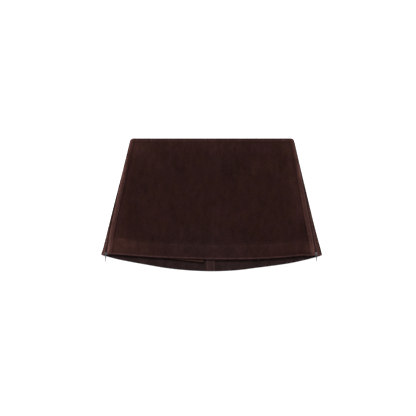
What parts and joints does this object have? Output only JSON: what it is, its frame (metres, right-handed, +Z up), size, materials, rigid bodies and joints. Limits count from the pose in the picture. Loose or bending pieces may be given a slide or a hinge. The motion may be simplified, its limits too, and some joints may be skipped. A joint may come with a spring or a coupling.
{
  "type": "suede mini skirt",
  "caption": "A-line suede mini skirt laid flat with its front up, closed by a zip down each side, the back hem showing below the front.",
  "frame": {"origin": "on the table, under the middle of the skirt's box", "axes": "+X to the right as the front is seen, +Y from the hem to the waist, +Z up off the table"},
  "size_m": [0.5163, 0.3092, 0.0122],
  "materials": {
    "suede": "dark brown suede with a soft nap",
    "suede_inside": "the suede's greyer back",
    "lining": "thin smooth brown lining",
    "zip_tape": "dark brown woven tape",
    "zip_teeth": "dark moulded teeth",
    "zip_metal": "bright nickel plate"
  },
  "bodies": {
    "skirt": {"front_panel": "suede", "back_panel_left": "suede", "back_panel_right": "suede", "back_seam_left": "suede_inside", "back_seam_right": "suede_inside", "lining_edge": "lining", "zip_tape_left": "zip_tape", "zip_tape_right": "zip_tape", "zip_teeth_left": "zip_teeth", "zip_teeth_right": "zip_teeth", "zip_slider_left": "zip_metal", "zip_slider_right": "zip_metal"},
    "pull_left": {"zip_pull_left": "zip_metal"},
    "pull_right": {"zip_pull_right": "zip_metal"}
  },
  "joints": [
    {"name": "pull_left_swing", "type": "hinge", "parent": "skirt", "child": "pull_left", "pos_m": [-0.24768, -0.11856, 0.01064], "axis": [-0.9924, 0.1229, 0], "range_deg": [0, 205]},
    {"name": "pull_right_swing", "type": "hinge", "parent": "skirt", "child": "pull_right", "pos_m": [0.24527, -0.11876, 0.01063], "axis": [-0.9913, -0.1319, 0], "range_deg": [0, 205]}
  ]
}
